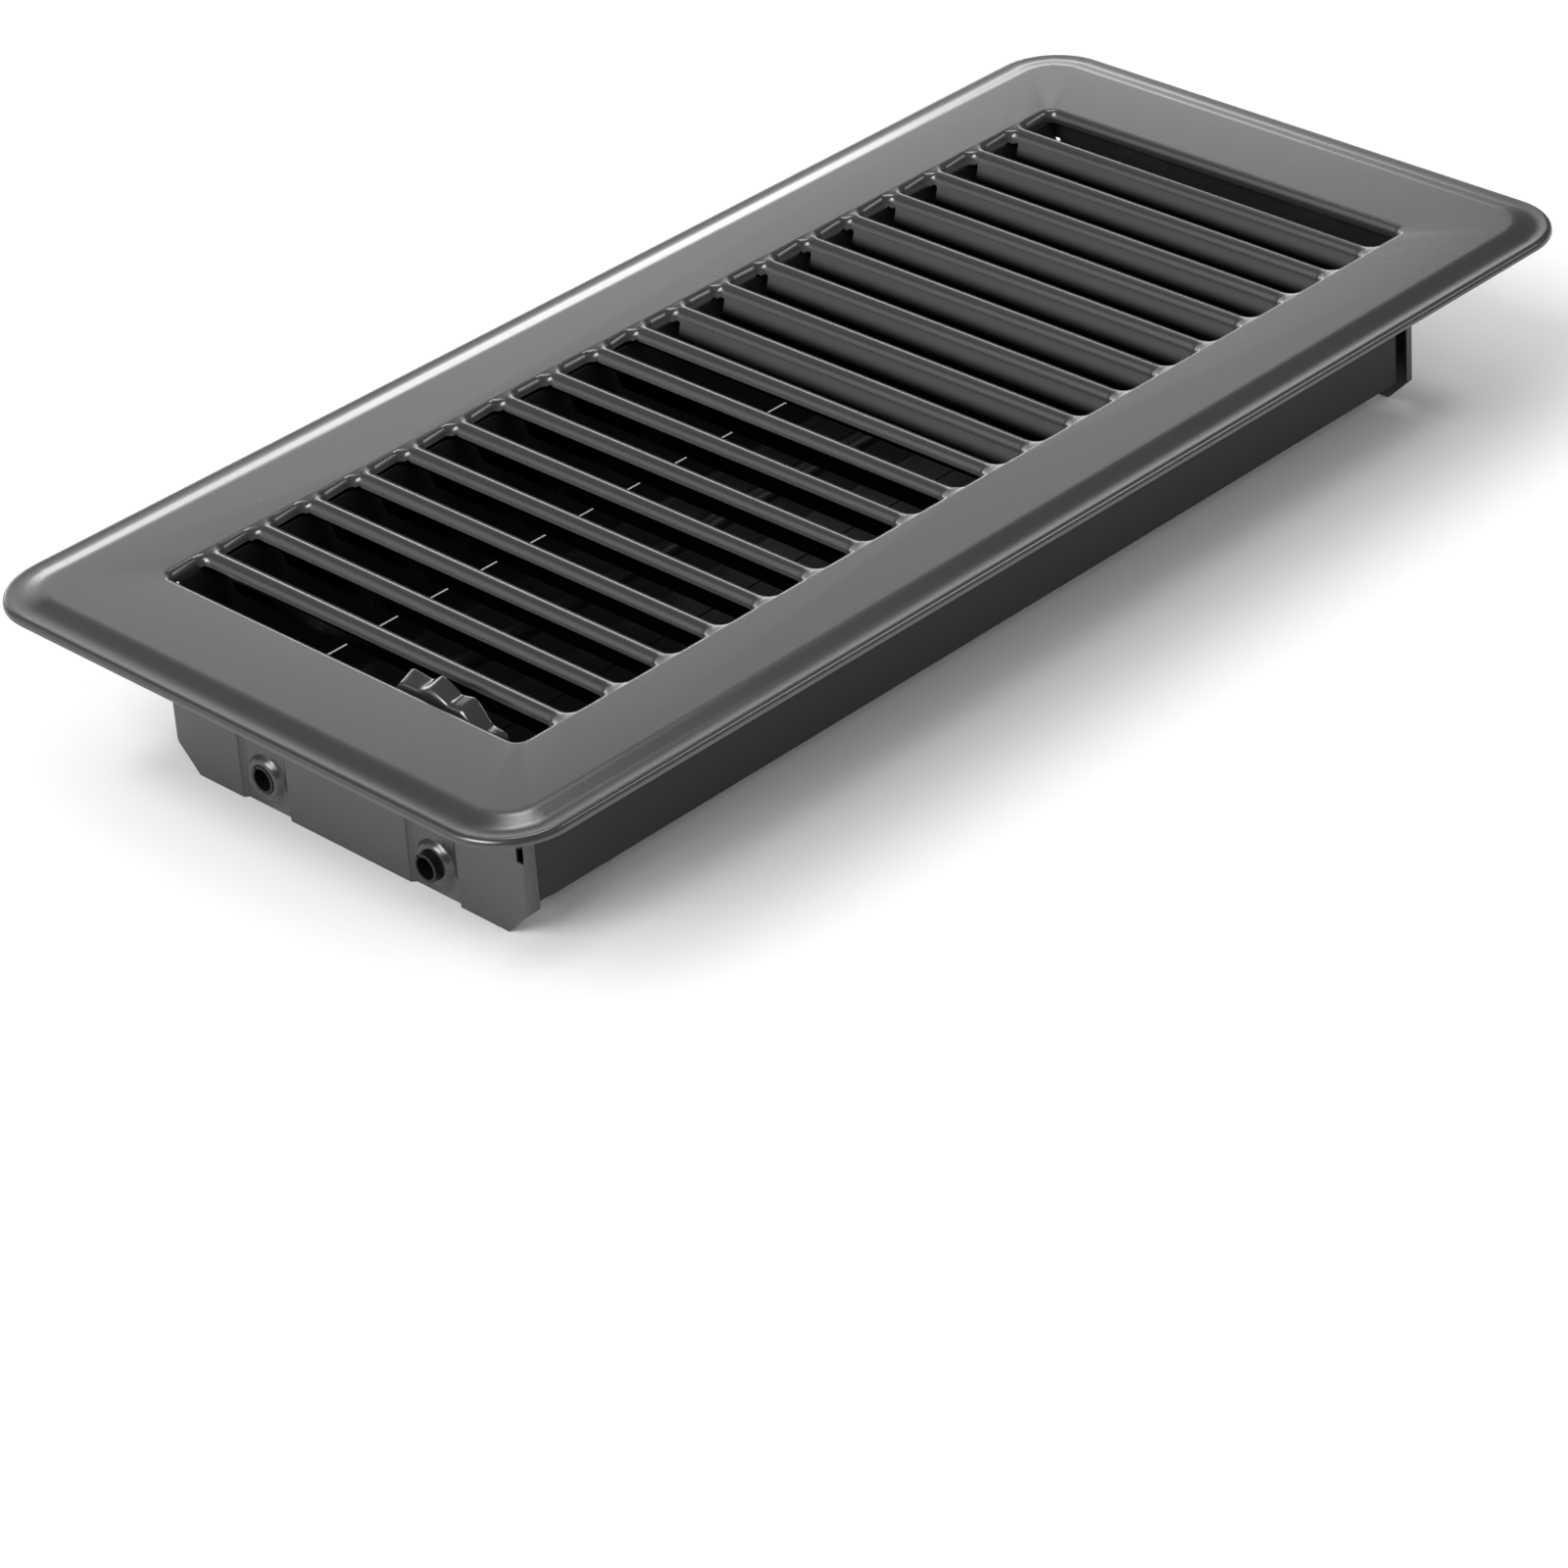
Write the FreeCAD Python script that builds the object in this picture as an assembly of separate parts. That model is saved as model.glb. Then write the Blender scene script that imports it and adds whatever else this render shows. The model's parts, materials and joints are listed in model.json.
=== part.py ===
import math
import os

import FreeCAD
import Part

os.makedirs("parts", exist_ok=True)

V = FreeCAD.Vector
AX, AZ = V(1, 0, 0), V(0, 0, 1)
ORIGIN = V(0, 0, 0)

# Sizes in mm. X runs along the register, Y across it, Z up; Z = 0 is the floor that the rim sits on.
# The face's length and width and the box's depth drive the rest; sheet details keep their own size.
FACE_L, FACE_W = 292.1, 139.7
BOX_DROP = 37.4
FACE_CORNER_R = 14.0
FACE_RISE = 2.3
SHEET = 0.7
RIM_OVER_END, RIM_OVER_SIDE = 23.95, 24.15
TOP_Z = FACE_RISE
UNDER_Z = TOP_Z - SHEET

# Rim section, outward from the flat face: a wide bend, a slope, a hollow, a rising bead and the lip
RIM_SLOPE, BEAD_SLOPE = 16.0, -8.0
RIM_BEND_R = 6.0
RIM_SLOPE_LEN = 1.9
RIM_HOLLOW_R = 6.6
BEAD_LEN = 0.5
LIP_R = 1.05

# End plates; each has two panels pressed inward round its trunnions
PLATE_OUT = FACE_L / 2 - RIM_OVER_END
PLATE_RECESS = 0.8
PANEL_HALF = 5.7
RETURN_LEN = 2.4
BEND_R = 1.2
CHAMFER = 6.2
SLIT_W = 1.6

# Slots and louvres; the slot field fills the length between the end plates
SLOTS = 20
BAR = 3.7
MID_NARROWER = 1.47
FIELD_GAP = 0.02
FIELD_END = PLATE_OUT - PLATE_RECESS - 2 * SHEET - FIELD_GAP
PITCH = (FIELD_END + BAR / 2 + MID_NARROWER) / (SLOTS / 2)
SLOT_W = PITCH - BAR
MID_SLOT_W = SLOT_W - MID_NARROWER
SLOT_HALF = FACE_W / 2 - RIM_OVER_SIDE
SLOT_CORNER_R = 1.8
MOUTH_R = 1.6
MOUTH_STEPS = 2
CORNER_STEPS = 4
FLANGE_STEPS = 2
FLANGE_DEPTH, LOUVRE_DEPTH = 2.6, 9.4
FLANGE_Z, LOUVRE_Z = TOP_Z - FLANGE_DEPTH, TOP_Z - LOUVRE_DEPTH
LOUVRE_ROOT = 0.4
LOUVRE_LEAN = 2.0
LOUVRE_SHORT = 1.9
LOUVRE_HALF = SLOT_HALF - LOUVRE_SHORT

# Side walls, under the slots' long ends
WALL_OUT = SLOT_HALF + SHEET
PLATE_HALF = WALL_OUT + SHEET
WALL_SHORT, WALL_RAISED = 4.9, 7.0
WALL_FREE_END = PLATE_OUT - WALL_SHORT
WALL_LOW_Z = WALL_RAISED - BOX_DROP
SLIT_Z0, SLIT_Z1 = -21.3, -4.5
TAB_Z0, TAB_Z1 = -18.0, -6.4
HOOK = 2.6
HOOK_FLAT, HOOK_SLANT = 1.4, 2.2

# Dampers and their rolled trunnions; each damper covers half of the box's width
MIDDLE_GAP = 0.4
PIVOT_INWARD, PIVOT_RAISED = 1.1, 6.4
PIVOT_Y = (SLOT_HALF - PIVOT_INWARD) / 2
PIVOT_Z = PIVOT_RAISED - BOX_DROP
TUBE_R, TUBE_WALL = 2.8, 0.6
RUNNING_GAP = 0.06
COLLAR_R, COLLAR_NARROWER, COLLAR_H = 4.7, 0.9, 1.1
BLADE_T = 0.7
BLADE_GAP = 0.7
BLADE_OUT = SLOT_HALF - PIVOT_Y - BLADE_GAP
BLADE_IN = PIVOT_Y - MIDDLE_GAP / 2
RIB_Y, RIB_HALF, RIB_UP = 0.6 * PIVOT_Y, 1.9, 0.9
NEAR_SPACE, FAR_SPACE = 4.9, 5.7
BLADE_X0, BLADE_X1 = NEAR_SPACE - PLATE_OUT, PLATE_OUT - FAR_SPACE
TUBE_GRIP = 8.0
TUBE_PROUD, WHEEL_SIDE_PROUD = 0.4, 1.8
PIN_R, PIN_HEAD_R, HEAD_T = 1.1, 1.9, 0.5
PIN_SIDES = 12
BAR_R, BAR_ANGLE = 9.0, 135.0
BAR_GAP = 0.9
BAR_X0 = BLADE_X1 + BAR_GAP
EAR_HALF = 2.6
LOOSE_GAP = 0.25

# Thumb wheel: a sector on its own rivet, with a crimped rim flared towards the louvres
WHEEL_GAP, WHEEL_PROUD = 0.2, 2.7
CREST_R = SLOT_HALF - PIVOT_Y - WHEEL_GAP
CREST_DEPTH, HIDDEN_LOWER = 1.9, 0.8
VALLEY_R = CREST_R - CREST_DEPTH
HIDDEN_CREST_R = CREST_R - HIDDEN_LOWER
WHEEL_Z = TOP_Z + WHEEL_PROUD - CREST_R
WHEEL_SPACE, WHEEL_WIDTH = 1.0, 3.9
WHEEL_X0 = WHEEL_SPACE - FIELD_END
WHEEL_X1 = WHEEL_X0 + WHEEL_WIDTH
FLARE = 0.925
CREST_STEP = 18.5
CREST_FLAT, VALLEY_FLAT = 2.2, 4.0
SECTOR_FROM, SECTOR_TO = -115.0, 25.0
HUB_R, BOSS_R = 7.0, 3.2
RIVET_R, RIVET_STOP_R = 1.5, 3.2
RIVET_HEAD_R, RIVET_HEAD_T = 3.0, 0.8
RIVET_TAIL_R, RIVET_TAIL_T = 2.6, 0.6

# Drive link from the wheel to the right damper, and the notch that clears it
DRIVE_R, DRIVE_ANGLE = 8.0, 200.0
LINK_SPACE, LINK_T = 1.8, 0.8
LINK_X0 = WHEEL_X0 + LINK_SPACE
NOTCH_LEN, NOTCH_INNER = 8.4, 3.4
NOTCH_X = WHEEL_X0 + NOTCH_LEN


def box(x0, x1, y0, y1, z0, z1):
    return Part.makeBox(x1 - x0, y1 - y0, z1 - z0, V(x0, y0, z0))


def prism(points, direction):
    return Part.Face(Part.makePolygon(points + [points[0]])).extrude(direction)


def skin(lines):
    """A solid between flat outlines with equal numbers of points, each side a flat face."""
    faces = [Part.Face(Part.makePolygon(line + line[:1])) for line in (lines[0], lines[-1])]
    for low, high in zip(lines, lines[1:]):
        for i in range(len(low)):
            corners = [low[i - 1], low[i], high[i], high[i - 1]]
            faces.append(Part.Face(Part.makePolygon(corners + corners[:1])))
    return Part.makeSolid(Part.makeShell(faces))


def rod_x(radius, x0, x1, y=0.0, z=0.0):
    return Part.makeCylinder(radius, x1 - x0, V(x0, y, z), AX)


def turned(shape, degrees):
    copy = shape.copy()
    copy.rotate(ORIGIN, AZ, degrees)
    return copy


def on_arc(centre, r, a0, a1, steps):
    """Points on an arc, from angle a0 to a1 in degrees, as (outward, up)."""
    angles = [math.radians(a0 + (a1 - a0) * k / steps) for k in range(steps + 1)]
    return [(centre[0] + r * math.cos(a), centre[1] + r * math.sin(a)) for a in angles]


def rounded_bar(x0, x1, half_y, r, z0, z1):
    """A block with four round corners, centred across the register."""
    core = box(x0 + r, x1 - r, -half_y, half_y, z0, z1)
    pieces = [box(x0, x1, -half_y + r, half_y - r, z0, z1)]
    for x in (x0 + r, x1 - r):
        for y in (-half_y + r, half_y - r):
            pieces.append(Part.makeCylinder(r, z1 - z0, V(x, y, z0), AZ))
    return core.multiFuse(pieces).removeSplitter()


def swept_round(section, half_x, half_y, r):
    """Sweep a section of (outward, z) points round a rectangle whose corners have radius r."""
    pieces = []
    for angle, reach, run in ((0, half_y, half_x - r), (90, half_x, half_y - r)):
        side = prism([V(-run, reach + u, z) for u, z in section], V(2 * run, 0, 0))
        pieces += [turned(side, angle), turned(side, angle + 180)]
    face = Part.Face(Part.makePolygon([V(0, r + u, z) for u, z in section + section[:1]]))
    for sx, sy, start in ((1, 1, -90), (-1, 1, 0), (-1, -1, 90), (1, -1, 180)):
        corner = turned(face, start).revolve(ORIGIN, AZ, 90)
        corner.translate(V(sx * (half_x - r), sy * (half_y - r), 0))
        pieces.append(corner)
    return pieces


# Face: pressed rim, drawn slot mouths and hanging louvres, all one stamping
def rim_section():
    """The rim's sheet cut across, and how far it reaches out from the flat face."""
    steep, flat = math.radians(RIM_SLOPE), math.radians(BEAD_SLOPE)
    a = (0.0, TOP_Z - RIM_BEND_R)
    p1 = (a[0] + RIM_BEND_R * math.sin(steep), a[1] + RIM_BEND_R * math.cos(steep))
    p2 = (p1[0] + RIM_SLOPE_LEN * math.cos(steep), p1[1] - RIM_SLOPE_LEN * math.sin(steep))
    b = (p2[0] + RIM_HOLLOW_R * math.sin(steep), p2[1] + RIM_HOLLOW_R * math.cos(steep))
    p3 = (b[0] - RIM_HOLLOW_R * math.sin(flat), b[1] - RIM_HOLLOW_R * math.cos(flat))
    p4 = (p3[0] + BEAD_LEN * math.cos(flat), p3[1] - BEAD_LEN * math.sin(flat))
    c = (p4[0] - LIP_R * math.sin(flat), p4[1] - LIP_R * math.cos(flat))

    def side(off):
        line = on_arc(a, RIM_BEND_R - off, 90, 90 - RIM_SLOPE, 2)
        line += on_arc(b, RIM_HOLLOW_R + off, 270 - RIM_SLOPE, 270 - BEAD_SLOPE, 3)
        line += on_arc(c, LIP_R - off, 90 - BEAD_SLOPE, 0, 4 if off == 0 else 2)
        return line + [(line[-1][0], 0.0)]

    top, under = side(0.0), side(SHEET)
    return top + under[::-1], top[-1][0]


def slot_spans():
    """Each slot's two X walls: ten slots either side of the middle bar, the two beside it narrower."""
    right = [(BAR / 2, BAR / 2 + MID_SLOT_W)]
    start = right[0][1] + BAR
    for i in range(SLOTS // 2 - 1):
        right.append((start + i * PITCH, start + i * PITCH + SLOT_W))
    return [(-b, -a) for a, b in reversed(right)] + right


def slot_line(width, out, z, steps):
    """A slot's outline at height z, moved out from the slot's walls; its corners are short flats."""
    x, y, r = width / 2 - SLOT_CORNER_R, SLOT_HALF - SLOT_CORNER_R, SLOT_CORNER_R + out
    points = []
    for sx, sy, start in ((1, 1, 0), (-1, 1, 90), (-1, -1, 180), (1, -1, 270)):
        corner = on_arc((sx * x, sy * y), r, start, start + 90, steps)
        points += [V(px, py, z) for px, py in corner]
    return points


def slot_cutter(width):
    """What one slot removes: the hole and the rounded mouth above it."""
    levels = [(0, FLANGE_Z - 1)] + on_arc((MOUTH_R, TOP_Z - MOUTH_R), MOUTH_R, 180, 90, MOUTH_STEPS)
    levels.append((MOUTH_R, TOP_Z + 1))
    return skin([slot_line(width, out, z, CORNER_STEPS) for out, z in levels])


def louvre(wall, out):
    """A blade hanging from one slot wall; out is the side of the wall that its sheet is on."""
    lean = -out * LOUVRE_LEAN
    line = [(wall, FLANGE_Z + LOUVRE_ROOT), (wall, FLANGE_Z), (wall + lean, LOUVRE_Z)]
    back = [(x + out * SHEET, z) for x, z in reversed(line)]
    return prism([V(x, -LOUVRE_HALF, z) for x, z in line + back], V(0, 2 * LOUVRE_HALF, 0))


def make_face():
    section, rim_w = rim_section()
    half_x, half_y, r = FACE_L / 2 - rim_w, FACE_W / 2 - rim_w, FACE_CORNER_R - rim_w
    pieces = swept_round(section, half_x, half_y, r)
    cutters = {w: slot_cutter(w) for w in (SLOT_W, MID_SLOT_W)}
    cuts = []
    for i, (x0, x1) in enumerate(slot_spans()):
        width = MID_SLOT_W if i in (SLOTS // 2 - 1, SLOTS // 2) else SLOT_W
        flange = prism(slot_line(width, SHEET, FLANGE_Z, FLANGE_STEPS), V(0, 0, UNDER_Z - FLANGE_Z))
        cut = cutters[width].copy()
        for solid in (flange, cut):
            solid.translate(V((x0 + x1) / 2, 0, 0))
        pieces.append(flange)
        cuts.append(cut)
    face = rounded_bar(-half_x, half_x, half_y, r, UNDER_Z, TOP_Z).multiFuse(pieces).cut(cuts)
    blades = []
    for i, (x0, x1) in enumerate(slot_spans()):
        if 1 <= i < SLOTS // 2:
            blades.append(louvre(x0, -1))
        elif SLOTS // 2 <= i < SLOTS - 1:
            blades.append(louvre(x1, 1))
    return face.multiFuse(blades).removeSplitter()


# End plates: chamfered sheets with two recessed panels, drawn collars and turned-in edges
def end_plate(rivet_hole):
    t, d, out, half = SHEET, PLATE_RECESS, -PLATE_OUT, PLATE_HALF
    k = t * math.tan(math.radians(22.5))
    y0, y1 = -PIVOT_Y - PANEL_HALF, PANEL_HALF - PIVOT_Y
    outer = [(y0 - d, 0), (y0, d), (y1, d), (y1 + d, 0)]
    inner = [(y0 - d - k, t), (y0 - k, d + t), (y1 + k, d + t), (y1 + d + k, t)]
    outer = [(-half, 0)] + outer + [(-y, v) for y, v in reversed(outer)] + [(half, 0)]
    inner = [(-half, t)] + inner + [(-y, v) for y, v in reversed(inner)] + [(half, t)]
    points = [V(out + v, y, -BOX_DROP) for y, v in outer + inner[::-1]]
    plate = prism(points, V(0, 0, BOX_DROP + UNDER_Z))
    for y in (-half, half - t):
        plate = plate.fuse(box(out, out + RETURN_LEN, y, y + t, -BOX_DROP, UNDER_Z))
    plate = plate.removeSplitter()
    corners = [e for e in plate.Edges if e.BoundBox.ZLength > 30 and e.BoundBox.XMax < out + 1e-3
               and abs(abs(e.BoundBox.YMin) - half) < 1e-3]
    plate = plate.makeFillet(BEND_R, corners)
    for s in (-1, 1):
        foot = [(s * (half + 1), -BOX_DROP - 1), (s * (half + 1), -BOX_DROP + CHAMFER + 1),
                (s * (half - CHAMFER - 1), -BOX_DROP - 1)]
        plate = plate.cut(prism([V(out - 5, y, z) for y, z in foot], V(12, 0, 0)))
        start = V(out + d - COLLAR_H, s * PIVOT_Y, PIVOT_Z)
        collar = Part.makeCone(COLLAR_R - COLLAR_NARROWER, COLLAR_R, COLLAR_H, start, AX)
        plate = plate.fuse(collar).cut(rod_x(TUBE_R + RUNNING_GAP, out - 5, out + 5, s * PIVOT_Y, PIVOT_Z))
    # slit beside one fold for the side wall's hooked tab
    plate = plate.cut(box(out - 1, out + t, -WALL_OUT, -WALL_OUT + SLIT_W, SLIT_Z0, SLIT_Z1))
    if rivet_hole:
        plate = plate.cut(rod_x(RIVET_R, out - 1, out + 5, -PIVOT_Y, WHEEL_Z))
    return plate.removeSplitter()


# Side wall: a flat sheet under the slot flanges, hooked into one end plate and short of the other
def side_wall():
    face, t, out = -PLATE_OUT, SHEET, -WALL_OUT
    wall = box(face + t, WALL_FREE_END, out, out + t, WALL_LOW_Z, FLANGE_Z)
    tab = box(face - t, face + t, out, out + t, TAB_Z0, TAB_Z1)
    hook = box(face - t, face, out, out + HOOK, TAB_Z0, TAB_Z1)
    slant = [(out + HOOK_FLAT, TAB_Z0 - 1), (out + HOOK + 1, TAB_Z0 - 1),
             (out + HOOK + 1, TAB_Z0 + HOOK_SLANT)]
    wall = wall.multiFuse([tab, hook]).cut(prism([V(face - 2, y, z) for y, z in slant], V(4, 0, 0)))
    wall = wall.removeSplitter()
    bend = [e for e in wall.Edges if e.BoundBox.ZLength > 5 and e.BoundBox.XMax < face - t + 1e-3
            and e.BoundBox.YMax < out + 1e-3]
    return wall.makeFillet(t, bend)


# Dampers: a ribbed sheet with a bead along the pivot, rolled into a tube at both ends
def blade_section(y0, y1):
    top, low, r_in = BLADE_T / 2, -BLADE_T / 2, TUBE_R - BLADE_T
    k = BLADE_T / 2
    rib_up = [(-RIB_HALF, top), (-RIB_HALF + RIB_UP, top + RIB_UP),
              (RIB_HALF - RIB_UP, top + RIB_UP), (RIB_HALF, top)]
    rib_low = [(-RIB_HALF + k, low), (-RIB_HALF + RIB_UP + k, low + RIB_UP),
               (RIB_HALF - RIB_UP - k, low + RIB_UP), (RIB_HALF - k, low)]
    a_up, a_low = math.degrees(math.asin(top / TUBE_R)), math.degrees(math.asin(low / r_in))
    upper = [(y0, top)] + [(y - RIB_Y, z) for y, z in rib_up]
    upper += on_arc((0, 0), TUBE_R, 180 - a_up, a_up, 8)
    upper += [(y + RIB_Y, z) for y, z in rib_up] + [(y1, top)]
    lower = [(y0, low)] + [(y - RIB_Y, z) for y, z in rib_low]
    lower += on_arc((0, 0), r_in, 180 - a_low, a_low, 8)
    lower += [(y + RIB_Y, z) for y, z in rib_low] + [(y1, low)]
    return upper + lower[::-1]


def tube(x0, x1):
    """A rolled tube, open along the seam where the sheet's edge meets itself."""
    inner = TUBE_R - TUBE_WALL
    ring = rod_x(TUBE_R, x0, x1).cut(rod_x(inner, x0 - 1, x1 + 1))
    seam = box(x0 - 1, x1 + 1, inner - 0.5, TUBE_R + 1, -0.2, 0.2)
    seam.rotate(ORIGIN, AX, 50)
    return ring.cut(seam)


def around(radius, degrees):
    """A point round the pivot, as (y, z), with the angle from +Y towards +Z."""
    a = math.radians(degrees)
    return radius * math.cos(a), radius * math.sin(a)


BAR_SPOT = around(BAR_R, BAR_ANGLE)
DRIVE_SPOT = around(DRIVE_R, DRIVE_ANGLE)


def ear(x0, spot):
    """A tab turned up or down from the sheet's end, with a round end."""
    y, z = spot
    z0, z1 = sorted((0, z))
    tab = box(x0, x0 + BLADE_T, y - EAR_HALF, y + EAR_HALF, z0, z1)
    return tab.fuse(rod_x(EAR_HALF, x0, x0 + BLADE_T, y, z))


def damper(near_end, wheel_side):
    """near_end is where the near trunnion stops; the wheel's side adds the notch and the drive ear."""
    y0, y1 = (-BLADE_OUT, BLADE_IN) if wheel_side else (-BLADE_IN, BLADE_OUT)
    shape = prism([V(BLADE_X0, y, z) for y, z in blade_section(y0, y1)], V(BLADE_X1 - BLADE_X0, 0, 0))
    pieces = [tube(near_end, BLADE_X0 + TUBE_GRIP), tube(BLADE_X1 - TUBE_GRIP, PLATE_OUT + TUBE_PROUD)]
    pieces.append(ear(BLADE_X1 - BLADE_T, BAR_SPOT))
    holes = [rod_x(PIN_R, BLADE_X1 - 2, BLADE_X1 + 1, *BAR_SPOT)]
    if wheel_side:
        shape = shape.cut(box(BLADE_X0 - 1, NOTCH_X - BLADE_T, y0 - 1, -NOTCH_INNER, -5, 5))
        pieces.append(ear(NOTCH_X - BLADE_T, DRIVE_SPOT))
        holes.append(rod_x(PIN_R, NOTCH_X - 2, NOTCH_X + 1, *DRIVE_SPOT))
    shape = shape.multiFuse(pieces).cut(holes).removeSplitter()
    shape.translate(V(0, -PIVOT_Y if wheel_side else PIVOT_Y, PIVOT_Z))
    return shape


# Thumb wheel: disc sector, flared crimped rim, hub and drive boss in one pressing
def rim_line():
    """The wheel's edge as (angle from straight up, radius), crest and valley in turn."""
    line = [(SECTOR_FROM, VALLEY_R)]
    for k in range(-6, 2):
        crest = CREST_R if k > -3 else HIDDEN_CREST_R
        middle, valley = k * CREST_STEP, (k + 0.5) * CREST_STEP
        line += [(middle - CREST_FLAT / 2, crest), (middle + CREST_FLAT / 2, crest)]
        line += [(valley - VALLEY_FLAT / 2, VALLEY_R), (valley + VALLEY_FLAT / 2, VALLEY_R)]
    return line[:-2] + [(SECTOR_TO, VALLEY_R)]


def polar(line, scale, inset=0.0):
    points = []
    for degrees, radius in line:
        r = radius * scale - inset
        points.append((r * math.sin(math.radians(degrees)), r * math.cos(math.radians(degrees))))
    return points


def wheel():
    x0, line = WHEEL_X0, rim_line()
    wires = []
    for x, scale in ((x0, FLARE), (WHEEL_X1, 1.0)):
        band = polar(line, scale) + polar(line, scale, SHEET)[::-1]
        wires.append(Part.makePolygon([V(x, *p) for p in band + band[:1]]))
    disc = prism([V(x0, 0, 0)] + [V(x0, *p) for p in polar(line, FLARE)], V(SHEET, 0, 0))
    pieces = [Part.makeLoft(wires, True, True), rod_x(HUB_R, x0, x0 + SHEET)]
    pieces.append(rod_x(BOSS_R, x0, x0 + SHEET, *DRIVE_SPOT))
    holes = [rod_x(RIVET_R + RUNNING_GAP, x0 - 1, x0 + 2), rod_x(PIN_R, x0 - 1, x0 + 2, *DRIVE_SPOT)]
    shape = disc.multiFuse(pieces).cut(holes).removeSplitter()
    shape.translate(V(0, -PIVOT_Y, WHEEL_Z))
    return shape


def headed_pin(steps, y, z):
    """Coaxial discs (radius, from, to) along X, fused into one pin; each disc has flats, not a round."""
    pieces = []
    for r, a, b in steps:
        ring = on_arc((y, z), r, 0, 360, PIN_SIDES)[:-1]
        pieces.append(prism([V(a, py, pz) for py, pz in ring], V(b - a, 0, 0)))
    return pieces[0].multiFuse(pieces[1:]).removeSplitter()


def wheel_rivet():
    outer = -PLATE_OUT + PLATE_RECESS
    disc_face = WHEEL_X0 + SHEET + RUNNING_GAP
    steps = [(RIVET_HEAD_R, outer - RIVET_HEAD_T, outer), (RIVET_R, outer, disc_face),
             (RIVET_STOP_R, outer + SHEET, WHEEL_X0 - RUNNING_GAP),
             (RIVET_TAIL_R, disc_face, disc_face + RIVET_TAIL_T)]
    return headed_pin(steps, -PIVOT_Y, WHEEL_Z)


def wheel_pin():
    y, z = DRIVE_SPOT
    far = LINK_X0 + LINK_T + RUNNING_GAP
    steps = [(PIN_R, WHEEL_X0, far), (PIN_HEAD_R, WHEEL_X0 + SHEET, LINK_X0 - RUNNING_GAP),
             (PIN_HEAD_R, far, far + HEAD_T)]
    return headed_pin(steps, y - PIVOT_Y, z + WHEEL_Z)


def drive_pin():
    y, z = DRIVE_SPOT
    near = LINK_X0 - RUNNING_GAP
    steps = [(PIN_HEAD_R, near - HEAD_T, near), (PIN_R, near, NOTCH_X),
             (PIN_HEAD_R, LINK_X0 + LINK_T + RUNNING_GAP, NOTCH_X - BLADE_T)]
    return headed_pin(steps, y - PIVOT_Y, z + PIVOT_Z)


def link_pin(pivot_y):
    y, z = BAR_SPOT
    far = BAR_X0 + SHEET + RUNNING_GAP
    steps = [(PIN_R, BLADE_X1 - BLADE_T, far), (PIN_HEAD_R, BLADE_X1, BAR_X0 - RUNNING_GAP),
             (PIN_HEAD_R, far, far + HEAD_T)]
    return headed_pin(steps, y + pivot_y, z + PIVOT_Z)


def strip(close, loose, half, x0, x1):
    """A flat link with round ends; its hole at close fits the pin, the one at loose leaves play."""
    along = V(0, loose[0] - close[0], loose[1] - close[1])
    along.normalize()
    side = along.cross(AX) * half
    p, q = V(x0, *close), V(x0, *loose)
    link = prism([p + side, q + side, q - side, p - side], V(x1 - x0, 0, 0))
    link = link.multiFuse([rod_x(half, x0, x1, *close), rod_x(half, x0, x1, *loose)])
    for gap, spot in ((RUNNING_GAP, close), (LOOSE_GAP, loose)):
        link = link.cut(rod_x(PIN_R + gap, x0 - 1, x1 + 1, *spot))
    return link.removeSplitter()


def drive_link():
    y = DRIVE_SPOT[0] - PIVOT_Y
    z = DRIVE_SPOT[1]
    return strip((y, z + WHEEL_Z), (y, z + PIVOT_Z), EAR_HALF, LINK_X0, LINK_X0 + LINK_T)


def connecting_bar():
    y, z = BAR_SPOT
    z += PIVOT_Z
    return strip((y - PIVOT_Y, z), (y + PIVOT_Y, z), EAR_HALF, BAR_X0, BAR_X0 + SHEET)


shapes = {
    "faceplate": make_face(),
    "near_end_plate": end_plate(True),
    "far_end_plate": turned(end_plate(False), 180),
    "right_side_wall": side_wall(),
    "left_side_wall": turned(side_wall(), 180),
    "wheel_rivet": wheel_rivet(),
    "right_damper_blade": damper(-PLATE_OUT - WHEEL_SIDE_PROUD, True),
    "left_damper_blade": damper(-PLATE_OUT - TUBE_PROUD, False),
    "thumb_wheel": wheel(),
    "wheel_pin": wheel_pin(),
    "drive_pin": drive_pin(),
    "drive_link": drive_link(),
    "right_link_pin": link_pin(-PIVOT_Y),
    "left_link_pin": link_pin(PIVOT_Y),
    "connecting_bar": connecting_bar(),
}

for name, shape in shapes.items():
    solids = shape.Solids
    if len(solids) != 1 or not shape.isValid():
        raise RuntimeError(name + " isn't one valid solid")
    solids[0].exportStep("parts/" + name + ".step")
    print(name, round(shape.Volume, 2))
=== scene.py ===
# %% [markdown]
# # A steel floor register
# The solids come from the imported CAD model: a pressed face with twenty slots, a shallow box under it,
# two dampers and the linkage that opens them. This script leaves their shapes alone. It rounds their
# cut edges, gives each one its paint, adds folded hems and a crimped thumb wheel, and sets up the
# studio that the register is looked at in.

# %% Load the frame
import json
import math

import bpy
import bmesh
from mathutils import Matrix, Vector


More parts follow.
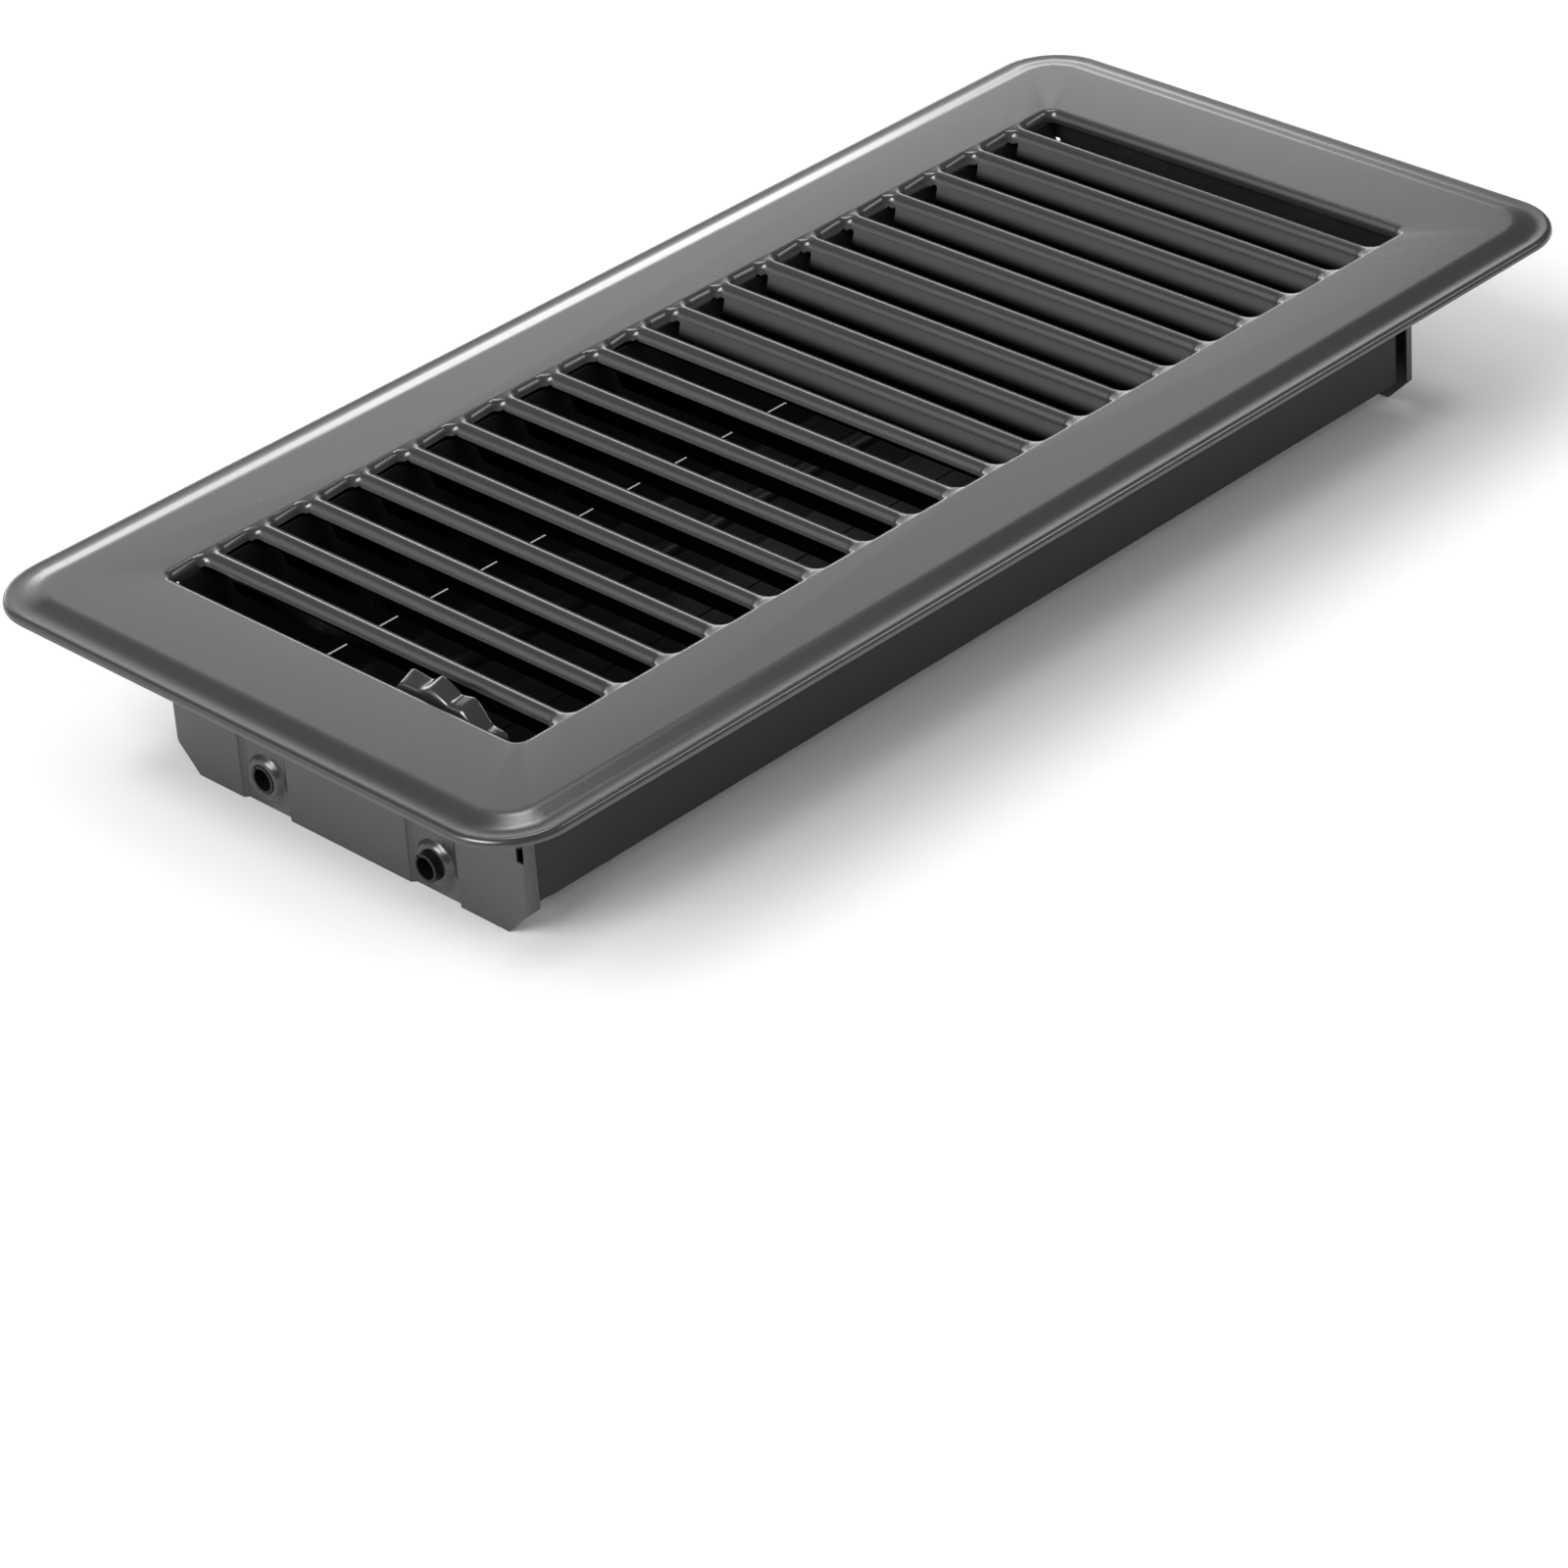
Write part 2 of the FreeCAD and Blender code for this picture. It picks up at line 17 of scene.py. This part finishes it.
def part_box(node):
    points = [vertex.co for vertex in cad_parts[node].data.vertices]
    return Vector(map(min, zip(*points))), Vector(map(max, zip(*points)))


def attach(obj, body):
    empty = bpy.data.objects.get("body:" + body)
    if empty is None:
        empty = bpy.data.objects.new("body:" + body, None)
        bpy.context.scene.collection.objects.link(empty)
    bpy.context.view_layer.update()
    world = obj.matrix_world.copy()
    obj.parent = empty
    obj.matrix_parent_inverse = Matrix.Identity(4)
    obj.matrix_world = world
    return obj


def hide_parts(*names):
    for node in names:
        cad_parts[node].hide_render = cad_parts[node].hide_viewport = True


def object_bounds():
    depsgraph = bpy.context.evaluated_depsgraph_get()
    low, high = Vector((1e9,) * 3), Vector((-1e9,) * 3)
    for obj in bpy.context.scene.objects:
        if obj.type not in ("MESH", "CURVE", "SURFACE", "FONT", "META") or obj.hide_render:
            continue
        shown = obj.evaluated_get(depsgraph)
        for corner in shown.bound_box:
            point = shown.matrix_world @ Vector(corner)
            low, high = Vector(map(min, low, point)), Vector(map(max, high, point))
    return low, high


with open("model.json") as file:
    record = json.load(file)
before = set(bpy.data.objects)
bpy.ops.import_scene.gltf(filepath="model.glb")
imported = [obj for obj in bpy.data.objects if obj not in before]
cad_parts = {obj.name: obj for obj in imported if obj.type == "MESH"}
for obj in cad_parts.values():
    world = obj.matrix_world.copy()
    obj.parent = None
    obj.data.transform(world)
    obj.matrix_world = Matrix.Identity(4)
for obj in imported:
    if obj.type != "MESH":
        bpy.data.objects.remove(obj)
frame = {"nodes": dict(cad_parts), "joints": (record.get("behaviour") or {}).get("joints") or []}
nodes = frame["nodes"]
cad_low, cad_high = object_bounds()
print("nodes:", sorted(nodes))

# %% [markdown]
# ## Writing shader maths as plain sums
# A material is a graph of small boxes. Wiring every Math box by hand hides the formula, so one class
# stands for an output socket and builds the Math node when two of them are added or multiplied.
# Everything that isn't a sum comes from one method, which takes the node's type, its settings and
# what goes into its sockets. The short methods after it only name the few nodes that are used often.

# %% Socket maths
class Signal:
    """An output socket that can be used in a sum."""

    def __init__(self, paint, socket):
        self.paint = paint
        self.socket = socket

    def join(self, operation, first, second):
        return self.paint.node("ShaderNodeMath", {"operation": operation}, {0: first, 1: second})

    def __add__(self, other):
        return self.join("ADD", self, other)

    def __mul__(self, other):
        return self.join("MULTIPLY", self, other)

    def __rsub__(self, other):
        return self.join("SUBTRACT", other, self)

    __radd__ = __add__
    __rmul__ = __mul__


def grey(shade):
    return (shade, shade, shade, 1)


# %% A material under construction
class Paint:
    """A material, its node tree and its shader."""

    def __init__(self, name):
        self.material = bpy.data.materials.new(name)
        self.material.use_nodes = True
        self.tree = self.material.node_tree
        self.shader = self.tree.nodes["Principled BSDF"]

    def node(self, kind, settings, inputs, output=0):
        made = self.tree.nodes.new(kind)
        for key, value in settings.items():
            setattr(made, key, value)
        self.fill(made, inputs)
        return Signal(self, made.outputs[output])

    def fill(self, made, inputs):
        for key, value in inputs.items():
            if isinstance(value, Signal):
                self.tree.links.new(value.socket, made.inputs[key])
            else:
                made.inputs[key].default_value = value

    def place(self):
        return self.node("ShaderNodeTexCoord", {}, {}, "Object")

    def facing(self):
        return self.node("ShaderNodeTexCoord", {}, {}, "Normal")

    def along(self, axis, vector):
        return self.node("ShaderNodeSeparateXYZ", {}, {0: vector}, axis)

    def mix(self, share, first, second):
        """The first colour where the share is nought, the second where it is one."""
        return self.node("ShaderNodeMix", {"data_type": "RGBA"}, {0: share, 6: first, 7: second}, 2)

    def rise(self, value, low, high):
        """Nought below low, one above high, smooth between them."""
        inputs = {"Value": value, "From Min": low, "From Max": high}
        return self.node("ShaderNodeMapRange", {"interpolation_type": "SMOOTHSTEP"}, inputs)

    def noise(self, per_metre, detail=2.0):
        inputs = {"Vector": self.place(), "Scale": per_metre, "Detail": detail}
        return self.node("ShaderNodeTexNoise", {}, inputs, "Fac")

    def beyond(self, half):
        """How far a point lies outside a box about the origin; half is that box's half sizes."""
        spot = self.node("ShaderNodeVectorMath", {"operation": "ABSOLUTE"}, {0: self.place()})
        spot = self.node("ShaderNodeVectorMath", {"operation": "SUBTRACT"}, {0: spot, 1: half})
        spot = self.node("ShaderNodeVectorMath", {"operation": "MAXIMUM"}, {0: spot, 1: (0, 0, 0)})
        return self.node("ShaderNodeVectorMath", {"operation": "LENGTH"}, {0: spot}, "Value")


# %% [markdown]
# ## Painted light and shade in the slots
# Inside the slots the colour stands in for light and shade. Sheet that light can reach is painted a
# lighter grey, a painted light, and where sheet hides sheet it is painted near black, a painted shade.
# A hand-painted map could say so, but it would have to be unwrapped for every louvre. Two masks do it
# with nothing but the place of a point and the way it faces: one is how deep it lies in a slot, the
# other is how well light from above the thumb wheel's end could reach it.

# %% Masks for the painted light and shade in the slots
SLOT_FIELD = (0.112, 0.0465, 1.0)
FIELD_FADE = 0.001
MOUTH_FOOT, MOUTH_TOP = 0.0004, 0.0012
HALVES_FADE = 0.001
FAR_HALF_GAIN = 0.2
# How a sheet faces and how deep it lies decide its share of painted light against painted shade.
SHADED_AT, LIT_AT = 0.06, 0.2
SHADED_BELOW, LIT_ABOVE = -0.0036, -0.0006


def in_the_slots(paint):
    """One below the mouths of the slots, nought on the plate and the rim."""
    below = 1 - paint.rise(paint.along("Z", paint.place()), MOUTH_FOOT, MOUTH_TOP)
    return below * (1 - paint.rise(paint.beyond(SLOT_FIELD), 0.0, FIELD_FADE))


def painted_light_share(paint):
    """One where light can reach and painted light goes, nought where sheet hides sheet and painted
    shade goes.

    The louvres of the far half lean away from the light and show it their faces, the near half's don't.
    """
    upward = paint.along("Z", paint.facing())
    far_half = paint.rise(paint.along("X", paint.place()), -HALVES_FADE, HALVES_FADE)
    shallow = paint.rise(paint.along("Z", paint.place()), SHADED_BELOW, LIT_ABOVE)
    return paint.rise(upward + FAR_HALF_GAIN * far_half, SHADED_AT, LIT_AT) * shallow


# %% [markdown]
# ## The enamel
# The whole register has one dark graphite stoving enamel, smooth and satin. On sheet steel it is never
# quite even: it drifts lighter and darker over a few centimetres, and its skin has the slightest
# orange peel. A photograph of paint would do for a picture, but it has one size and its own light.
# Here both come from noise in object coordinates, so the pattern keeps its real size on every piece.
# The box, its walls and the dampers get darker copies of the same enamel, the walls and dampers also
# duller: painted shade for sheet in the shade of the face.
# In a slot, sheet that light doesn't reach is painted near black and metallic, a painted shade, since a
# metal mirrors only as much as its colour lets it: the sheet deep in a slot then gives back almost
# nothing. Sheet that light does reach there is painted a lighter grey, a painted light.

# %% Graphite enamel
DRIFT_PER_METRE = 22
DRIFT = 0.06
DRIFT_ROUGHNESS = 0.08
PEEL_PER_METRE = 900
PEEL_HEIGHT = 0.0000006
PEEL_ROUGHNESS = 0.01
ENAMEL_IOR = 1.75
# Greys for the painted light and the painted shade in the slots.
PAINTED_LIGHT_GREY = 0.07
PAINTED_SHADE_GREY = 0.004


def enamel(name, shade, roughness, ior=ENAMEL_IOR, slotted=False):
    paint = Paint(name)
    cloud = paint.noise(DRIFT_PER_METRE)
    peel = paint.noise(PEEL_PER_METRE)
    colour = paint.mix(cloud, grey(shade * (1 - DRIFT)), grey(shade * (1 + DRIFT)))
    skin = {"Height": peel * PEEL_HEIGHT, "Strength": 1.0, "Distance": 1.0}
    if slotted:
        # In the slots the colour is painted light and shade: lighter where light reaches, near black
        # and metallic where sheet shades sheet, so that it mirrors next to nothing.
        deep, lit_share = in_the_slots(paint), painted_light_share(paint)
        slot_light_and_shade = paint.mix(lit_share, grey(PAINTED_SHADE_GREY), grey(PAINTED_LIGHT_GREY))
        colour = paint.mix(deep, colour, slot_light_and_shade)
        paint.fill(paint.shader, {"Metallic": deep * (1 - lit_share)})
    paint.fill(paint.shader, {
        "Base Color": colour,
        "Roughness": roughness + DRIFT_ROUGHNESS * cloud + PEEL_ROUGHNESS * peel,
        "IOR": ior,
        "Normal": paint.node("ShaderNodeBump", {}, skin),
    })
    return paint.material


face_paint = enamel("graphite_face", shade=0.022, roughness=0.22, slotted=True)
# Darker copies of the face enamel, painted shade for the box, its walls and the dampers.
box_shade_paint = enamel("graphite_box_painted_shade", shade=0.016, roughness=0.23)
wall_shade_paint = enamel("graphite_wall_painted_shade", shade=0.010, roughness=0.42, ior=1.4)
damper_shade_paint = enamel("graphite_damper_painted_shade", shade=0.006, roughness=0.3, ior=1.35)
wheel_paint = enamel("graphite_wheel", shade=0.022, roughness=0.13)
print("paints:", [m.name for m in bpy.data.materials])

# %% [markdown]
# ## Bare steel
# The pins and the rivet are cold-headed wire, bright zinc when new. They are metal all through, so
# Metallic is 1 and the colour is the reflection's colour. A little noise in the roughness stands for
# the scuffs of tumbling; modelled scratches would be far too small to see here.

# %% Steel pins
SCUFFS_PER_METRE = 600
SCUFF_ROUGHNESS = 0.15


def steel(name, shade, roughness):
    paint = Paint(name)
    scuff = paint.noise(SCUFFS_PER_METRE)
    paint.fill(paint.shader, {
        "Base Color": grey(shade),
        "Roughness": roughness + SCUFF_ROUGHNESS * scuff,
        "Metallic": 1.0,
    })
    return paint.material


pin_steel = steel("bright_pin", shade=0.45, roughness=0.28)
print("steel:", pin_steel.name)

# %% [markdown]
# ## Dressing the solids
# Real sheet has cut edges that are a little round and catch the light, while CAD edges are knife
# sharp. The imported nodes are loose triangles, and their stored meshes are left alone. A Weld modifier
# joins them at run time, a small Bevel rounds the cut edges, and Weighted Normal keeps the large flats
# flat, so that light only bends where the steel does.

# %% Paint and soften each node
WELD_WITHIN = 0.00001
EDGE_ROUND = 0.00016
CORNER_ANGLE = math.radians(50)
FLATS_WEIGHT = 90
paint_of = {
    "faceplate": face_paint,
    "near_end_plate": box_shade_paint,
    "far_end_plate": box_shade_paint,
    "right_side_wall": wall_shade_paint,
    "left_side_wall": wall_shade_paint,
    "right_damper_blade": damper_shade_paint,
    "left_damper_blade": damper_shade_paint,
    "thumb_wheel": wheel_paint,
    "drive_link": damper_shade_paint,
    "connecting_bar": damper_shade_paint,
}


def soften(piece):
    piece.data.shade_smooth()
    weld = piece.modifiers.new("weld", "WELD")
    weld.merge_threshold = WELD_WITHIN
    bevel = piece.modifiers.new("cut edges", "BEVEL")
    bevel.width = EDGE_ROUND
    bevel.segments = 2
    bevel.limit_method = "ANGLE"
    bevel.angle_limit = CORNER_ANGLE
    bevel.harden_normals = True
    flats = piece.modifiers.new("flats", "WEIGHTED_NORMAL")
    flats.mode = "FACE_AREA"
    flats.weight = FLATS_WEIGHT
    flats.keep_sharp = True


for name, piece in nodes.items():
    piece.data.materials.clear()
    piece.data.materials.append(paint_of.get(name, pin_steel))
    soften(piece)
print("dressed:", {name: piece.data.materials[0].name for name, piece in nodes.items()})

# %% [markdown]
# ## Folded hems
# Long sheet edges on such a box are folded back, so that they are stiff and cut nobody. Here the lower
# edges of the walls and the outer edges of the dampers have a hem: a small roll round the edge, with a
# tail that lies flat on the sheet, up the inside of a wall and back under a damper. A curve with a
# bevel could make the roll alone, but a hem is one strip of sheet. So its section is drawn once, in Y
# and Z from a point on the sheet, and extruded along the edge. The dampers' hems turn with the dampers.

# %% From a bmesh to a piece
def finished(shape, name, material):
    """Make the shape an object at the origin, with one material, and put it in the scene."""
    mesh = bpy.data.meshes.new(name)
    shape.to_mesh(mesh)
    shape.free()
    mesh.materials.append(material)
    piece = bpy.data.objects.new(name, mesh)
    bpy.context.scene.collection.objects.link(piece)
    return piece


# %% Hem sections
HEM_HALF_LENGTH = 0.116
ROLL_STEPS = 8
SHEET = 0.0007
BLADE_MIDDLE = -0.03105
WALL_HEM = {
    "from": (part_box("left_side_wall")[1].y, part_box("left_side_wall")[0].z),
    "centre": (-0.0005, 0.00005),
    "radius": 0.00045,
    "arc": (180, 360),
    "tail": [(-0.0001, 0.0004), (-SHEET, 0.0004), (-SHEET, 0.0015), (-SHEET - 0.0002, 0.0015)],
}
DAMPER_HEM = {
    "from": (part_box("left_damper_blade")[1].y, BLADE_MIDDLE),
    "centre": (0, 0),
    "radius": 0.0004,
    "arc": (-90, 90),
    "tail": [(-0.0002, 0.00035), (-0.0002, -0.00025), (-0.0018, -0.00025), (-0.0018, -0.00045),
             (-0.0002, -0.00045)],
}


def section(fold):
    """The points of a hem's section, the roll first and then the tail."""
    y, z = fold["centre"]
    first, last = fold["arc"]
    points = []
    for i in range(ROLL_STEPS + 1):
        angle = math.radians(first + (last - first) * i / ROLL_STEPS)
        points.append((y + fold["radius"] * math.cos(angle), z + fold["radius"] * math.sin(angle)))
    across, up = fold["from"]
    return [(across + y, up + z) for y, z in points + fold["tail"]]


# %% Extrude the hems
def hem(name, fold, side, paint, body):
    """A hem along X; side is 1 for the left of the register and -1 for the right."""
    shape = bmesh.new()
    corners = [shape.verts.new((-HEM_HALF_LENGTH, side * y, z)) for y, z in section(fold)]
    end = shape.faces.new(corners)
    pushed = bmesh.ops.extrude_face_region(shape, geom=[end])["geom"]
    far_corners = [part for part in pushed if isinstance(part, bmesh.types.BMVert)]
    bmesh.ops.translate(shape, verts=far_corners, vec=(2 * HEM_HALF_LENGTH, 0, 0))
    bmesh.ops.recalc_face_normals(shape, faces=shape.faces)
    piece = finished(shape, name, paint)
    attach(piece, body)
    print(name, "faces:", len(piece.data.polygons))


for side_name, side in (("left", 1), ("right", -1)):
    hem(side_name + "_side_wall_hem", WALL_HEM, side, wall_shade_paint, "base")
    hem(side_name + "_damper_hem", DAMPER_HEM, side, damper_shade_paint, side_name + "_damper")

# %% [markdown]
# ## The thumb wheel
# The real wheel is a pressed dish: a flat sector whose rim is folded over and crimped, so that a thumb
# finds grip on it. The fold runs smooth, and the crimps grow from it towards the free edge. One line
# from the rivet hole to that edge, spun about the rivet, gives the dish; then each point of the rim
# moves in or out with a wave. Solidify gives the sheet its thickness and a subdivision rounds it.
# Cutting each crimp out of a thick rim would take longer and leave hard edges that a press can't make.

# %% Wheel sizes
turn_of_wheel = next(joint for joint in frame["joints"] if joint["name"] == "wheel_turn")
RIVET = Vector(turn_of_wheel["pos_m"])
FOLD_X, EDGE_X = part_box("thumb_wheel")[0].x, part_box("thumb_wheel")[1].x
FOLD_R, EDGE_R = 0.0206, 0.0216
FOLD_WAVE, EDGE_WAVE = 0.00045, 0.0009
HUB_RADII = (0.00156, 0.0022, 0.0068, 0.007)
WEB_RADII = (0.0074, 0.012, 0.0175)
BEND = [(0.0, -0.0007), (0.0002, -0.0001), (0.0008, 0.0003)]
RIM_SHARES = (0.45, 0.7, 0.95, 1.0)
RIM_FROM_R = 0.015
CRIMP_STEP = 21.2
STEPS_PER_CRIMP = 8
STEPS_BEFORE, STEPS_AFTER = 43, 10
HUB_STEPS = 82
VALLEY_AT = 0.375
FALL_POWER = 0.9
MERGE_WITHIN = 0.00002
print("rivet at:", tuple(RIVET), "rim from", FOLD_X, "to", EDGE_X)

# %% Spin the dish
def spun(shape, line, start, stop, steps):
    """Spin a line of (x, radius) about the rivet; angles run from straight up towards +Y."""
    corners = [shape.verts.new((x, RIVET.y, RIVET.z + r)) for x, r in line]
    edges = [shape.edges.new(pair) for pair in zip(corners, corners[1:])]
    turn = Matrix.Rotation(-math.radians(start), 3, "X")
    bmesh.ops.rotate(shape, verts=corners, cent=RIVET, matrix=turn)
    bmesh.ops.spin(shape, geom=corners + edges, cent=RIVET, axis=(-1, 0, 0),
                   angle=math.radians(stop - start), steps=steps)


def dish():
    """The sector with its rim, and the rest of the turn with the hub alone."""
    shape = bmesh.new()
    step = CRIMP_STEP / STEPS_PER_CRIMP
    first, last = -STEPS_BEFORE * step, STEPS_AFTER * step
    hub = [(FOLD_X, r) for r in HUB_RADII]
    web = [(FOLD_X, r) for r in WEB_RADII]
    bend = [(FOLD_X + inward, FOLD_R + outward) for inward, outward in BEND]
    rim = [(FOLD_X + (EDGE_X - FOLD_X) * t, FOLD_R + (EDGE_R - FOLD_R) * t) for t in RIM_SHARES]
    spun(shape, hub + web + bend + rim, first, last, STEPS_BEFORE + STEPS_AFTER)
    spun(shape, hub, last, first + 360, HUB_STEPS)
    bmesh.ops.remove_doubles(shape, verts=shape.verts, dist=MERGE_WITHIN)
    return shape


# %% Crimp its rim
def crimp(vert):
    """Move one point of the rim in or out: a short way down from each crest, then a long way up."""
    arm = vert.co - RIVET
    arm.x = 0
    if arm.length < RIM_FROM_R:
        return
    place = (math.degrees(math.atan2(arm.y, arm.z)) / CRIMP_STEP) % 1
    if place < VALLEY_AT:
        fall = place / VALLEY_AT
    else:
        fall = (1 - place) / (1 - VALLEY_AT)
    wave = 1 - 2 * fall ** FALL_POWER
    along = (vert.co.x - FOLD_X) / (EDGE_X - FOLD_X)
    vert.co += arm.normalized() * wave * (FOLD_WAVE + (EDGE_WAVE - FOLD_WAVE) * along)


def crimped_wheel():
    shape = dish()
    for vert in shape.verts:
        crimp(vert)
    bmesh.ops.recalc_face_normals(shape, faces=shape.faces)
    piece = finished(shape, "thumb_wheel_pressing", wheel_paint)
    piece.data.shade_smooth()
    wall = piece.modifiers.new("sheet", "SOLIDIFY")
    wall.thickness = SHEET
    wall.offset = -1
    rounding = piece.modifiers.new("rounding", "SUBSURF")
    rounding.levels = rounding.render_levels = 1
    return piece


wheel = crimped_wheel()
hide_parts("thumb_wheel")
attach(wheel, "wheel")
print("wheel faces:", len(wheel.data.polygons), "normal of the dish:", wheel.data.polygons[0].normal)

# %% [markdown]
# ## The floor
# A sheet of white paper that the foot of the box stands on. It glows a little, so that it stays white
# away from the lamps. Near the box that glow fades out, a painted shadow for the light that would have
# to come in under the rim, so the shadow there can go grey. A brighter lamp could whiten the paper too,
# but it would also wash the shadow out.

# %% Floor
FLOOR_Z = cad_low[2]
FLOOR_HALF = 12.0
PAPER_SHADE = 0.8
PAPER_ROUGHNESS = 0.9
PAPER_GLOW = 0.18
BOX_HALF = (0.1221, 0.0471, 1.0)
PAINTED_SHADOW_WIDTH = 0.014


def white_paper():
    paper = Paint("white_floor")
    # The glow fades out near the box: a painted shadow.
    out_of_painted_shadow = paper.rise(paper.beyond(BOX_HALF), 0.0, PAINTED_SHADOW_WIDTH)
    paper.fill(paper.shader, {
        "Base Color": grey(PAPER_SHADE),
        "Roughness": PAPER_ROUGHNESS,
        "Specular IOR Level": 0.0,
        "Emission Color": paper.mix(out_of_painted_shadow, grey(0), grey(1)),
        "Emission Strength": PAPER_GLOW,
    })
    return paper.material


ground = bmesh.new()
bmesh.ops.create_grid(ground, x_segments=1, y_segments=1, size=FLOOR_HALF)
bmesh.ops.translate(ground, verts=ground.verts, vec=(0, 0, FLOOR_Z))
floor = finished(ground, "floor", white_paper())
print("floor at:", FLOOR_Z)

# %% [markdown]
# ## The light
# Soft light comes from behind on the left: the left slope of the rim catches it, the right wall of the
# box is in shade, and the shadow falls to the right. Lights that shape the shadow and lights that the
# enamel mirrors are kept apart, as a photographer does with flags and cards: the suns don't show in
# gloss, and the cards don't light the floor. Each card is there for one line or flat of the register.
# One large lamp would be simpler, but what gives the rim its bright line would wash out the shadow.

# %% Lamps
def hang(name, lamp, place):
    """Put a lamp in the scene, turned towards the register, and return its object."""
    holder = bpy.data.objects.new(name, lamp)
    holder.location = place
    holder.rotation_euler = (-Vector(place)).to_track_quat("-Z", "Y").to_euler()
    bpy.context.scene.collection.objects.link(holder)
    return holder


def sun(name, place, spread, strength):
    lamp = bpy.data.lights.new(name, "SUN")
    lamp.angle = math.radians(spread)
    lamp.energy = strength
    hang(name, lamp, place).visible_glossy = False


def card(name, place, size, watts):
    lamp = bpy.data.lights.new(name, "AREA")
    lamp.shape = "RECTANGLE"
    lamp.size, lamp.size_y = size
    lamp.energy = watts
    hang(name, lamp, place).visible_diffuse = False


def around(azimuth, distance, height):
    """A place round the register, by compass angle from +X towards +Y."""
    angle = math.radians(azimuth)
    return (distance * math.cos(angle), distance * math.sin(angle), height)


# %% Suns, for the shade and the shadow
sun("key_left", (-1.0, 0.18, 0.82), spread=50, strength=3.1)
sun("overhead", (-0.1, 0.25, 1.0), spread=60, strength=0.8)
sun("right_fill", (0.2, -1.0, 0.6), spread=60, strength=1.3)

# %% Cards, for the enamel
card("back_wall", around(66, 1.6, 0.55), size=(2.0, 1.1), watts=7.2)
card("back_strip", around(68, 1.5, 0.15), size=(1.1, 0.3), watts=3.5)
card("crest_line", around(44, 1.6, 0.34), size=(0.8, 0.3), watts=2.0)
card("left_wall", around(148, 1.5, 0.6), size=(1.5, 1.2), watts=4.3)
card("lip_line", around(-38, 1.2, 1.0), size=(0.5, 0.5), watts=3.0)
card("corner_glint", around(46, 0.78, 1.4), size=(0.34, 0.34), watts=3.4)
card("glint", around(180, 1.2, 1.08), size=(0.8, 0.8), watts=22)
print("lamps:", [lamp.name for lamp in bpy.data.lights])

# %% The white room around it
ROOM_STRENGTH = 0.2

room = bpy.data.worlds.new("studio")
room.use_nodes = True
backdrop = room.node_tree.nodes["Background"]
backdrop.inputs["Color"].default_value = grey(1)
backdrop.inputs["Strength"].default_value = ROOM_STRENGTH
bpy.context.scene.world = room
bpy.context.scene.view_settings.view_transform = "Standard"
print("room strength:", ROOM_STRENGTH)

# %% [markdown]
# ## The camera
# A long lens, just under 29 degrees above the floor and 46 degrees round from the length of the
# register, tilted a little. Its place and lens follow from the four corners of the face, whose real
# sizes are known. The shift only slides the frame, so that the register sits high in it. A constraint
# could aim the camera, but three axes from the angles keep the tilt exact.

# %% Camera
EYE = Vector((-0.637, -0.647, 0.489))
AZIMUTH, ELEVATION, ROLL = math.radians(226.01), math.radians(28.72), math.radians(-4.18)
LENS_MM, SENSOR_MM = 125.98, 36
SHIFT_X, SHIFT_Y = 0.0111, -0.2143
NEAREST = 0.01


def camera():
    away = Vector((math.cos(ELEVATION) * math.cos(AZIMUTH), math.cos(ELEVATION) * math.sin(AZIMUTH),
                   math.sin(ELEVATION)))
    level = (-away).cross(Vector((0, 0, 1))).normalized()
    upright = level.cross(-away)
    right = level * math.cos(ROLL) + upright * math.sin(ROLL)
    up = upright * math.cos(ROLL) - level * math.sin(ROLL)
    lens = bpy.data.cameras.new("camera")
    lens.lens = LENS_MM
    lens.sensor_width = SENSOR_MM
    lens.sensor_fit = "HORIZONTAL"
    lens.shift_x, lens.shift_y = SHIFT_X, SHIFT_Y
    lens.clip_start = NEAREST
    holder = bpy.data.objects.new("camera", lens)
    holder.matrix_world = Matrix.Translation(EYE) @ Matrix((right, up, away)).transposed().to_4x4()
    bpy.context.scene.collection.objects.link(holder)
    return holder


bpy.context.scene.camera = camera()
print("camera at:", tuple(EYE))
